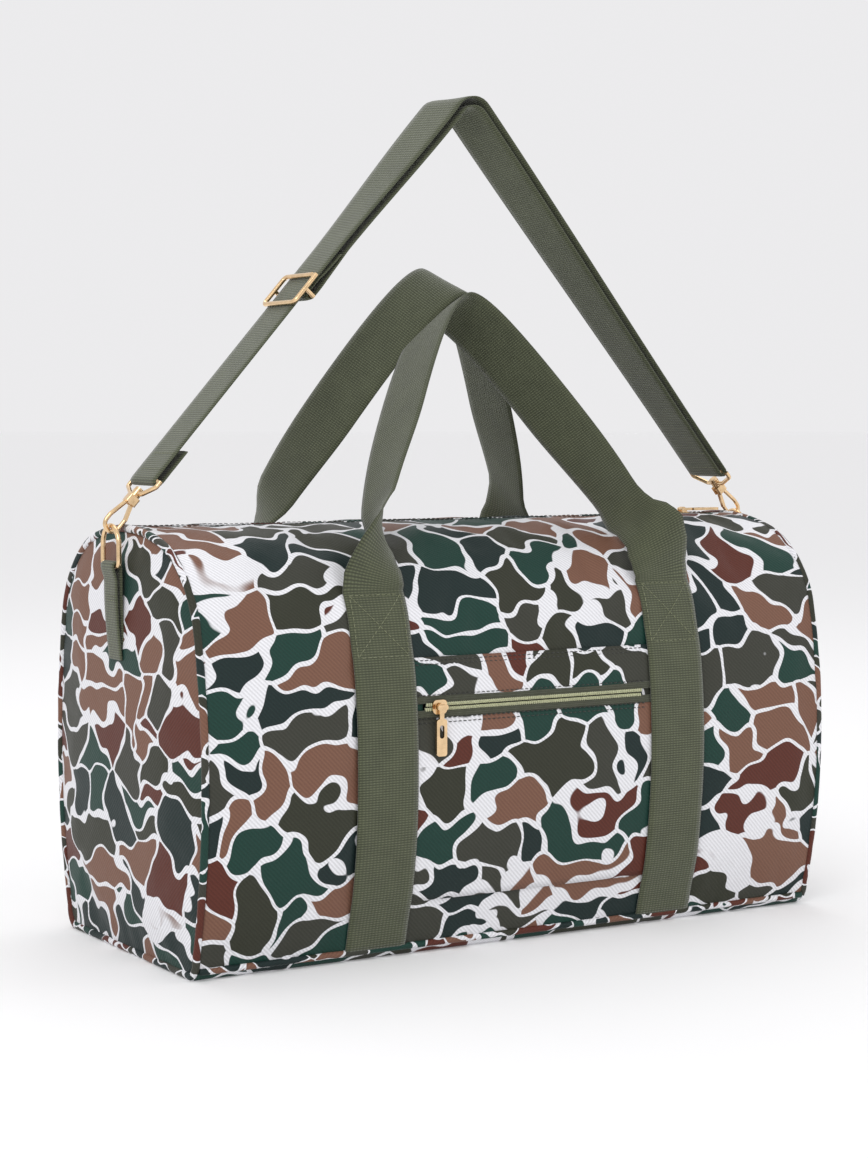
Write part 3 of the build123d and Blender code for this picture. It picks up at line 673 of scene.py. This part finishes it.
END_GRID = 45
RIM_COUNT = 320
END_MIDDLE = Vector((0, 0, 142 * MM))
for end, hand in ((-1, "left"), (1, "right")):
    rim = ring_points(2.4 * MM, RIM_COUNT)
    points, pins = [], {}
    for i in range(END_GRID):
        for j in range(END_GRID):
            u, v = 2 * j / (END_GRID - 1) - 1, 2 * i / (END_GRID - 1) - 1
            r, turn = square_ring(u, v)
            at = rim[round(turn * RIM_COUNT) % RIM_COUNT]
            spot = END_MIDDLE.lerp(at, r)
            swell = (1 - r * r) * 3.0 * MM
            swell += noise.noise(Vector((spot.y * 14, spot.z * 17, end * 4))) * 1.2 * MM * min(1, (1 - r) * 8)
            swell += noise.noise(Vector((turn * 60, r * 4, end))) * 1.3 * MM * r ** 4 * min(1, (1 - r) * 12)
            points.append(Vector((end * (HALF - 0.6 * MM + swell), spot.y, spot.z)))
            if r > 0.97:
                pins[i * END_GRID + j] = 1.0
    faces = grid(END_GRID, END_GRID)
    if end < 0:
        faces = [face[::-1] for face in faces]
    settled = relax("end_cloth", points, faces, pins, 2.0, 0.006)
    uvs = [(p.y * -end, p.z) for p in points]
    end_panel = mesh_object(f"end_fabric_{hand}", settled, faces, camo_end, uvs)
    smoother = end_panel.modifiers.new("smooth", "SUBSURF")
    smoother.levels = 1
    apply_all(end_panel)
    solidify(end_panel, PANEL_T)
    place(end_panel, "bag", "camo_twill", f"end_panel_{hand}")

    path = [Vector((end * (HALF - 0.9 * MM), p.y, max(p.z, 2.7 * MM))) for p in ring_points(1.2 * MM, 260)]
    cord = tube_loop(f"end_cord_{hand}", path, 2.6 * MM, camo_cord, 0.10)
    place(cord, "bag", "piping", f"end_piping_{hand}")

for side, name in ((-1, "front"), (1, "back")):
    path = []
    for j in range(121):
        x = (-EDGE_X + 1 * MM) * (1 - j / 60)
        path.append(surface(side, x, SEAM_RUN - 1 * MM, 0.6 * MM)[0])
    points, uvs = [], []
    for centre in path:
        for k in range(10):
            turn = 2 * math.pi * k / 10
            points.append(centre + Vector((0, math.cos(turn), math.sin(turn))) * 2.3 * MM)
            uvs.append((centre.x, turn * 2.3 * MM))
    faces = grid(len(path), 10, closed=True)
    faces += [tuple(range(10))[::-1], tuple((len(path) - 1) * 10 + k for k in range(10))]
    cord = mesh_object(f"base_cord_{name}", points, faces, camo_cord, uvs)
    place(cord, "bag", "piping", f"bottom_piping_{name}")

# lining and the pocket's inner pan, hidden behind the closed zips
LINING_AT = 7 * MM
points, uvs = [], []
for i in range(61):
    share = 2 * i / 60 - 1
    run = run_at_height(CROWN - 16 * MM)
    run += (GIRTH - run) * (1 - abs(share))
    (y, z), (ny, nz) = outline_at(run)
    y, z = y - ny * LINING_AT, max(z - nz * LINING_AT, 3.6 * MM)
    for j in range(41):
        x = (HALF - 5 * MM) * (j / 20 - 1)
        droop = noise.noise(Vector((x * 12, share * 6, 2))) * 1.5 * MM * (z > 20 * MM)
        points.append(Vector((x, math.copysign(max(y, 0.0) - abs(droop), share), z)))
        uvs.append((x, share))
inner = [face for face in grid(61, 41)
         if not (points[face[0]].y < 0 and all(abs(points[k].x) < 0.1 for k in face)
                 and all(POCKET_LOW.z < points[k].z < POCKET_TOP for k in face))]
sack = mesh_object("lining_fabric", points, [face[::-1] for face in inner], lining_cloth, uvs)
solidify(sack, 0.7 * MM, 1.0)
place(sack, "bag", "lining_cloth", "lining")

# ---------- front pocket
ZIP_HALF = 5.5 * MM
pocket_runs = run_at_height(ZIP_Z - ZIP_HALF), run_at_height(POCKET_LOW.z)
strip_runs = run_at_height(POCKET_TOP), run_at_height(ZIP_Z + ZIP_HALF)
POCKET_SIDE = 101 * MM  # the pocket's sides run in under the straps
patch("pocket_fabric", -1, (-POCKET_SIDE, POCKET_SIDE), pocket_runs, 1.2 * MM, 1.1 * MM, camo_pocket, "bag",
      "camo_twill", "pocket_front_panel", puff=1.6 * MM)
patch("pocket_hem_fabric", -1, (-POCKET_SIDE, POCKET_SIDE), strip_runs, 1.5 * MM, 1.2 * MM, camo_pocket, "bag",
      "camo_twill", "pocket_top_strip", puff=0.8 * MM, step=3.4 * MM)

pan_points, pan_uvs = [], []
PAN_SIDE = -POCKET_LOW.x - 2 * MM
for i in range(33):
    run = run_at_height(POCKET_TOP - 7 * MM)
    run += (run_at_height(POCKET_LOW.z + 7 * MM) - run) * i / 32
    (y, z), (ny, nz) = outline_at(run)
    for j in range(39):
        x = PAN_SIDE * (j / 19 - 1)
        deep = 7.6 * MM * min(1.0, min(i, 32 - i, j, 38 - j) / 1.5)
        pan_points.append(Vector((x, -(y - ny * (2.4 * MM + deep)), z - nz * (2.4 * MM + deep))))
        pan_uvs.append((x, run))
pan = mesh_object("pocket_pan_fabric", pan_points, [f[::-1] for f in grid(33, 39)], lining_cloth, pan_uvs)
solidify(pan, 0.7 * MM)
place(pan, "bag", "lining_cloth", "pocket_lining")


# ---------- zips
def coil(name, start, stop, up, half_gap, width, height, pitch, body, *nodes):
    """Two rows of rounded coil teeth either side of a straight line; up is the way the zip faces."""
    along = (stop - start).normalized()
    side = up.cross(along)
    points, faces = [], []
    count = int((stop - start).length / pitch)
    for k in range(count):
        for hand in (-1, 1):
            shift = 0.25 * pitch * hand
            centre = start + along * ((k + 0.5) * pitch + shift) - up * (height / 2)
            base = len(points)
            for share, swell in ((0.0, 0.55), (0.16, 1.0), (0.84, 0.95), (1.0, 0.5)):
                at = centre + side * (hand * (half_gap + share * width))
                at += along * (0.22 * pitch * (share - 0.5))
                for turn in range(8):
                    angle = math.pi * turn / 4
                    points.append(at + along * (math.cos(angle) * pitch * 0.4 * swell)
                                  + up * (math.sin(angle) * height * 0.5 * swell))
            faces += [tuple(base + v for v in quad) for quad in grid(4, 8, closed=True)]
            faces += [tuple(base + v for v in range(8))[::-1], tuple(base + 24 + v for v in range(8))]
    made = mesh_object(name, points, faces, coil_plastic)
    return place(made, body, "zip_coil", *nodes)


chain_low, chain_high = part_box("main_zip_teeth")
coil("main_coil", Vector((chain_low.x, 0, chain_high.z)), Vector((chain_high.x, 0, chain_high.z)),
     Vector((0, 0, 1)), 0.35 * MM, 2.5 * MM, 2.2 * MM, 1.6 * MM, "bag", "main_zip_teeth")
small_low, small_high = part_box("pocket_zip_teeth")
coil("pocket_coil", Vector((small_low.x, small_low.y, ZIP_Z)), Vector((small_high.x, small_low.y, ZIP_Z)),
     Vector((0, -1, 0)), 0.35 * MM, 2.4 * MM, 2.2 * MM, 1.6 * MM, "bag", "pocket_zip_teeth")

tape_low, tape_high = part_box("main_zip_tape_front")
for side, name in ((-1, "front"), (1, "back")):
    points, uvs = [], []
    for i in range(7):
        y = (2.6 + 1.9 * i) * MM
        z = outline_at(y)[0][1]
        for j in range(96):
            x = tape_low.x + (tape_high.x - tape_low.x) * j / 95
            dip = 0.15 * MM * noise.noise(Vector((x * 60, i, side)))
            points.append(Vector((x, side * y, z - 2.15 * MM + dip)))
            uvs.append((y, x))
    faces = grid(7, 96)
    if side < 0:
        faces = [face[::-1] for face in faces]
    tape = mesh_object(f"main_tape_{name}", points, faces, tape_cloth, uvs)
    solidify(tape, 0.8 * MM)
    place(tape, "bag", "zip_tape", f"main_zip_tape_{name}")

for hand, name in ((-1, "lower"), (1, "upper")):
    points, uvs = [], []
    for i in range(5):
        z = ZIP_Z + hand * (2.2 + 1.3 * i) * MM
        for j in range(73):
            x = POCKET_SIDE * 0.985 * (j / 36 - 1)
            spot = surface(-1, x, run_at_height(z), 0.9 * MM)[0]
            spot.y = max(spot.y, small_low.y + 1.2 * MM) if i < 3 else spot.y
            points.append(spot)
            uvs.append((z, x))
    faces = grid(5, 73)
    if hand > 0:
        faces = [face[::-1] for face in faces]
    tape = mesh_object(f"pocket_tape_{name}", points, faces, tape_cloth, uvs)
    solidify(tape, 0.7 * MM)
    place(tape, "bag", "zip_tape", f"pocket_zip_tape_{name}")


# ---------- sewn webbing and the carry handles
def record_point(joint):
    return Vector(JOINTS[joint]["pos_m"])


# lift, lean and roll of each handle: -1 front, 1 back
HANDLE_SHAPE = {-1: (214 * MM, math.radians(27), 1), 1: (232 * MM, math.radians(25.2), -1)}
HANDLE_YAW = math.radians(22)


def handle_frames(side):
    """Stations along one handle from left foot to right foot, with the webbing turned as in the photo."""
    foot_y = abs(record_point("front_handle_swing").y)
    lift, lean, roll = HANDLE_SHAPE[side]
    up = Vector((0, -side * math.sin(lean), math.cos(lean)))
    out = Vector((0, side * math.cos(lean), math.sin(lean)))
    foot = Vector((0, side * foot_y, STRAP_TOP))
    stations = []
    for k in range(1, 41):
        t = k / 40
        s = 1 - t
        u = -STRAP_X * s**3 + 3 * (-STRAP_X + 12 * MM) * s * s * t - 3 * 34 * MM * s * t * t
        v = 3 * 0.3 * lift * s * s * t + 3 * lift * s * t * t + lift * t**3
        du = 3 * s * s * 12 * MM + 6 * s * t * (STRAP_X - 46 * MM) + 3 * t * t * 34 * MM
        dv = 3 * s * s * 0.3 * lift + 6 * s * t * 0.7 * lift
        share = min(1.0, max(0.0, (v - 2 * MM) / (60 * MM)))
        turn = math.pi / 2 * share ** 1.15 * (1.6 - 0.6 * share)
        along = (Vector((1, 0, 0)) * du + up * dv).normalized()
        inside = (Vector((1, 0, 0)) * dv - up * du).normalized()
        normal = out * math.cos(turn) + inside * (roll * math.sin(turn))
        spot = foot + Vector((u, 0, 0)) + up * (v + 3 * MM)
        across = along.cross(normal).normalized() * (WEB / 2)
        lift_off = 0.0
        for edge in (spot + across, spot - across):
            if edge.z < CROWN:
                wall = [p for p in HALF_OUTLINE[:40] if p[1] <= edge.z][0][0]
                lift_off = max(lift_off, wall + 2.5 * MM - side * edge.y)
        stations.append((spot + out * lift_off, along, normal))
    flip = [(Vector((-c.x, c.y, c.z)), Vector((a.x, -a.y, -a.z)), Vector((-n.x, n.y, n.z)))
            for c, a, n in reversed(stations[:-1])]
    settled = []
    for centre, along, normal in stations + flip:
        high = min(1.0, max(0.0, (centre.z - STRAP_TOP - 30 * MM) / (90 * MM)))
        high = high * high * (3 - 2 * high)
        slip = 9 * MM * high * math.sin(math.pi * centre.x / STRAP_X)
        across = Matrix.Rotation(HANDLE_YAW * high, 3, "Z") @ along.cross(normal)
        along = (along + Vector((0, 0.2 * high * abs(along.x), 0))).normalized()
        across = (across - along * across.dot(along)).normalized()
        settled.append((centre + Vector((0, slip, 0)), along, across.cross(along)))
    return settled


def sewn_stations(side, x):
    """Stations up a strap sewn to the bag, from the bottom seam to the last stitch row."""
    stations = []
    count = 44
    low, high = SEAM_RUN - 1 * MM, STRAP_RUN + 1 * MM
    for k in range(count + 1):
        run = low + (high - low) * k / count
        over_pocket = side < 0 and POCKET_RUNS[0] - 4 * MM < run < POCKET_RUNS[1] + 4 * MM
        lift = 1.1 * MM + (1.5 * MM if over_pocket else 0.0)
        spot, normal = surface(side, x, run, lift)
        beside = [surface(side, x + shift, run, lift)[0] for shift in (-16 * MM, 16 * MM)]
        spot = (spot * 2 + beside[0] + beside[1]) / 4 + normal * 0.35 * MM
        stations.append([spot, None, normal])
    smooth = [station[0].copy() for station in stations]
    for _ in range(3):
        smooth = [smooth[0]] + [(smooth[k - 1] + smooth[k] * 2 + smooth[k + 1]) / 4
                                for k in range(1, count)] + [smooth[-1]]
    for k, station in enumerate(stations):
        ahead, behind = smooth[min(k + 1, count)], smooth[max(k - 1, 0)]
        station[0], station[1] = smooth[k], (ahead - behind).normalized()
    return [tuple(station) for station in stations]


def mirror_end(stations):
    return [(c, -a, n) for c, a, n in reversed(stations)]


def on_strap(sewn, across, z):
    """Point on the outer face of a sewn strap, with the strap's normal."""
    near = min(sewn, key=lambda station: abs(station[0].z - z))
    spot = near[0] + Vector((across, 0, 0)) + near[1] * ((z - near[0].z) / near[1].z)
    return spot + near[2] * (WEB_T * 0.56), near[2]


def box_stitches(sewn):
    """Rows of thread round a box and along its two diagonals, at the top of a sewn strap."""
    top, low, wide = STRAP_TOP - 3 * MM, STRAP_TOP - 43 * MM, 19.5 * MM
    corners = [(-wide, top), (wide, top), (wide, low), (-wide, low)]
    rows = []
    for first, last in ((0, 1), (1, 2), (2, 3), (3, 0), (0, 2), (1, 3)):
        (x0, z0), (x1, z1) = corners[first], corners[last]
        rows.append([on_strap(sewn, x0 + (x1 - x0) * k / 14, z0 + (z1 - z0) * k / 14) for k in range(15)])
    return rows


for side, name in ((-1, "front"), (1, "back")):
    loop = handle_frames(side)
    left, right = sewn_stations(side, -STRAP_X), sewn_stations(side, STRAP_X)
    path = left + loop + mirror_end(right)
    made = ribbon(f"{name}_handle_webbing", path, WEB, WEB_T * 1.12, web, across=10)
    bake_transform(made)
    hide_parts(f"{name}_handle_loop", f"{name}_strap_left", f"{name}_strap_right")

    # box of stitches with a cross in it, just under each handle
    rows = box_stitches(left) + box_stitches(right)
    thread = stitches(f"{name}_handle_thread", rows, thread_pale, length=3.0 * MM, radius=0.3 * MM)
    place(thread, "bag", "webbing")

# ---------- shoulder strap
def leg_line(hand):
    """Foot and direction of one leg of the shoulder strap."""
    swivel = JOINTS[("left" if hand < 0 else "right") + "_clasp_swivel"]
    return Vector(swivel["pos_m"]), Vector(swivel["axis"]).normalized()


LEGS = {hand: leg_line(hand) for hand in (-1, 1)}
(foot_left, way_left), (foot_right, way_right) = LEGS[-1], LEGS[1]
APEX = foot_left + way_left * ((foot_right.x - foot_left.x) * way_right.z
                               / (way_left.x * way_right.z - way_left.z * way_right.x))
BAR_AT = 43 * MM
WRAP = 2.7 * MM
STRAP_WIDE = 40 * MM
PLY = 4.3 * MM  # each layer's distance from the apex
adjuster_low, adjuster_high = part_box("adjuster_frame")
adjuster_mid = (adjuster_low + adjuster_high) / 2
ADJUSTER_RUN = (adjuster_mid - foot_left).dot(way_left)


def on_leg(hand, outward, along):
    """Point beside a strap leg, and the leg's outward normal."""
    foot, way = LEGS[hand]
    normal = Vector((hand * abs(way.z), 0, abs(way.x)))
    return foot + way * along + normal * outward, normal


def bend_round(points, corner, radius, count):
    """Replace one corner of a flat path with an arc."""
    a, b, c = points[corner - 1:corner + 2]
    back, ahead = (a - b).normalized(), (c - b).normalized()
    half = back.angle(ahead) / 2
    reach = radius / math.tan(half)
    centre = b + (back + ahead).normalized() * (radius / math.sin(half))
    first, last = b + back * reach - centre, b + ahead * reach - centre
    turn = first.angle(last)
    axis = first.cross(last).normalized()
    from_here = [centre + (first * math.cos(turn * k / count) + axis.cross(first) * math.sin(turn * k / count))
                 for k in range(count + 1)]
    return points[:corner] + from_here + points[corner + 1:]


def path_stations(points, step, up):
    """Evenly spaced stations along points in the strap's plane; up picks the outer face at the start."""
    marks = [points[0]]
    carry = 0.0
    for a, b in zip(points, points[1:]):
        gap = (b - a).length
        at = step - carry
        while gap > 0 and at < gap:
            marks.append(a.lerp(b, at / gap))
            at += step
        carry = gap - (at - step)
    marks.append(points[-1])
    stations = []
    for k, centre in enumerate(marks):
        along = (marks[min(k + 1, len(marks) - 1)] - marks[max(k - 1, 0)]).normalized()
        normal = Vector((0, 1, 0)).cross(along)
        stations.append((centre, along, normal if up > 0 else -normal))
    return stations


def hairpin(hand, start, along, radius, count=10):
    """Half turn round a bar, below it: from the leg's outer side (start 1) or inner side (-1)."""
    way = LEGS[hand][1]
    centre, normal = on_leg(hand, 0, along)
    return [centre + normal * (start * radius * math.cos(math.pi * k / count))
            - way * (radius * math.sin(math.pi * k / count)) for k in range(count + 1)]


def turned(stations, yaw):
    """Turn the strap's width a little about the vertical, more towards the apex than at its ends."""
    made = []
    for centre, along, normal in stations:
        low = 475 * MM if centre.x < APEX.x else 345 * MM
        high = min(1.0, max(0.0, (centre.z - low) / (APEX.z - 20 * MM - low)))
        across = Matrix.Rotation(yaw * high * high * (3 - 2 * high), 3, "Z") @ along.cross(normal)
        across = (across - along * across.dot(along)).normalized()
        made.append((centre, along, across.cross(along)))
    return made


STRAP_YAW = math.radians(14)
TAIL = 29 * MM
outer = [on_leg(-1, -WRAP, BAR_AT + TAIL * (1 - k / 6))[0] for k in range(6)]
outer += hairpin(-1, -1, BAR_AT, WRAP)
leg_out_left = [on_leg(-1, WRAP, BAR_AT)[0], APEX + Vector((0, 0, PLY)), on_leg(1, WRAP, BAR_AT)[0]]
outer += bend_round(leg_out_left, 1, 16 * MM, 14)[1:-1]
outer += hairpin(1, 1, BAR_AT, WRAP)
inner_turn = [on_leg(1, -WRAP, BAR_AT)[0], APEX - Vector((0, 0, PLY)),
              on_leg(-1, -WRAP, ADJUSTER_RUN + 60 * MM)[0]]
inner_path = bend_round(inner_turn, 1, 12 * MM, 12)
outer += inner_path[1:-1]
made = ribbon("shoulder_strap_webbing", turned(path_stations(outer, 3 * MM, 1), STRAP_YAW),
              STRAP_WIDE, WEB_T * 1.05, web)
place(made, "shoulder_strap", "webbing", "shoulder_webbing")

# the free layer from the apex down to the adjuster, round its bar and back up to its own stitches
bar_low, bar_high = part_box("adjuster_bar")
bar_mid = (bar_low + bar_high) / 2
bar_out = (bar_mid - foot_left).dot(on_leg(-1, 1, 0)[1])
bar_run = (bar_mid - foot_left).dot(way_left)
EYE = 2.6 * MM
UPPER = -WRAP + 1.75 * MM  # the sewn end lies just outside the free layer
inner = [inner_path[-2], on_leg(-1, -WRAP, bar_run + 44 * MM)[0],
         on_leg(-1, bar_out - EYE, bar_run + 10 * MM)[0]]
normal = on_leg(-1, 1, 0)[1]
inner += [bar_mid - normal * (EYE * math.cos(math.pi * k / 10)) - way_left * (EYE * math.sin(math.pi * k / 10))
          for k in range(11)]
inner += [on_leg(-1, outward, bar_run + along * MM)[0]
          for outward, along in ((bar_out + EYE, 12), (bar_out + 1.6 * MM, 20), (UPPER, 31), (UPPER, 38))]
made = ribbon("adjuster_strap_webbing", turned(path_stations(inner, 2.4 * MM, 1), STRAP_YAW),
              STRAP_WIDE, WEB_T, web)
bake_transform(made)
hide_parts("adjuster_webbing_end")


def cross_row(hand, along, outward):
    """Line of thread across a leg of the strap."""
    spot, normal = on_leg(hand, outward, along)
    face = normal if outward > 0 else -normal
    return [(spot + Vector((0, 17.5 * MM * (k / 6 - 1), 0)), face) for k in range(13)]


FACE = WRAP + WEB_T * 0.52
rows = [cross_row(hand, BAR_AT + shift, outward)
        for hand in (-1, 1) for shift in (8 * MM, 22 * MM) for outward in (FACE, -FACE)]
thread = stitches("shoulder_strap_thread", rows, thread_pale, length=2.8 * MM, radius=0.28 * MM)
place(thread, "shoulder_strap", "webbing")
rows = [cross_row(-1, bar_run + shift, -WRAP - WEB_T * 0.55) for shift in (33 * MM, 36 * MM)]
thread = stitches("adjuster_thread", rows, thread_pale, length=2.8 * MM, radius=0.28 * MM)
place(thread, "adjuster", "webbing")

# ---------- ring tabs on the end panels
def tab_point(hand, off, bow_out, low, top, share):
    """Point on a tab's layer: off and bow_out are millimetres from the end panel."""
    return Vector((hand * (HALF + (off + bow_out * math.sin(math.pi * 0.55 * share)) * MM), 0,
                   low + (top - low) * share))


for hand, name in ((-1, "left"), (1, "right")):
    ring_low, ring_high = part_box(f"ring_{name}")
    ring_x = (ring_low.x + ring_high.x) / 2
    bar = Vector((ring_x, 0, ring_low.z + 1.7 * MM))
    round_bar = 3.0 * MM
    top, low = bar.z - 9 * MM, 201 * MM
    bow = [tab_point(hand, 8.2, 3.2, low, top, k / 8) for k in range(9)]
    wrap = [bar + Vector((hand * round_bar * math.cos(math.pi * k / 10), 0,
                          round_bar * math.sin(math.pi * k / 10))) for k in range(11)]
    down = [tab_point(hand, 6.4, 1.4, low, top, k / 8) for k in range(8, -1, -1)]
    made = ribbon(f"ring_tab_{name}_webbing", path_stations(bow + wrap + down, 2.4 * MM, -hand), 21 * MM,
                  WEB_T * 1.05, web)
    place(made, "bag", "webbing", f"ring_tab_{name}")
    rows = []
    for z in (241 * MM, 244 * MM):
        x = tab_point(hand, 8.2, 3.2, low, top, (z - low) / (top - low)).x + hand * WEB_T * 0.6
        rows.append([(Vector((x, 8.5 * MM * (k / 5 - 1), z)), Vector((hand, 0, 0))) for k in range(11)])
    thread = stitches(f"ring_tab_{name}_thread", rows, thread_pale, length=2.4 * MM, radius=0.26 * MM)
    place(thread, "bag", "webbing")

# ---------- topstitching round the zips and the pocket
rows = []
for run in (pocket_runs[0] + 2.2 * MM, pocket_runs[0] + 5.2 * MM, strip_runs[1] - 2.2 * MM,
            strip_runs[0] + 2.2 * MM, strip_runs[0] + 5.0 * MM):
    row = []
    for j in range(90):
        x = 95 * MM * (2 * j / 89 - 1)
        row.append(surface(-1, x, run, 1.75 * MM))
    rows.append(row)
thread = stitches("pocket_thread", rows, thread_dark, length=2.8 * MM, radius=0.3 * MM)
place(thread, "bag", "camo_twill")
rows = []
for side in (-1, 1):
    row = []
    for j in range(200):
        x = (EDGE_X - 6 * MM) * (2 * j / 199 - 1)
        row.append(surface(side, x, SLOT + 3 * MM, 0.1 * MM))
    rows.append(row)
thread = stitches("zip_edge_thread", rows, thread_dark, length=3.0 * MM, radius=0.28 * MM)
place(thread, "bag", "camo_twill")

# ---------- metal and base board, as in the CAD
SHOWN = (
    "main_zip_slider", "main_zip_pull", "main_zip_stops", "pocket_zip_slider", "pocket_zip_pull", "ring_left",
    "ring_right", "clasp_hook_left", "clasp_hook_right", "clasp_gate_left", "clasp_gate_right",
    "clasp_gate_pin_left", "clasp_gate_pin_right", "clasp_loop_left", "clasp_loop_right", "adjuster_frame",
    "adjuster_bar",
)
for node in SHOWN:
    shape = frame["nodes"][node]
    shape.data.materials.clear()
    shape.data.materials.append(gold)
board = frame["nodes"]["base_board"]
board.data.materials.clear()
board.data.materials.append(board_plastic)


# ---------- floor
def lay_floor():
    """Wide pale floor that meets the studio's own colour at the horizon."""
    sides = 96
    reach = 60
    points = [Vector((reach * math.cos(math.tau * k / sides), reach * math.sin(math.tau * k / sides), 0))
              for k in range(sides)]
    floor = mesh_object("floor", points, [tuple(range(sides))], floor_paint, smooth=False)


lay_floor()
bpy.context.view_layer.update()
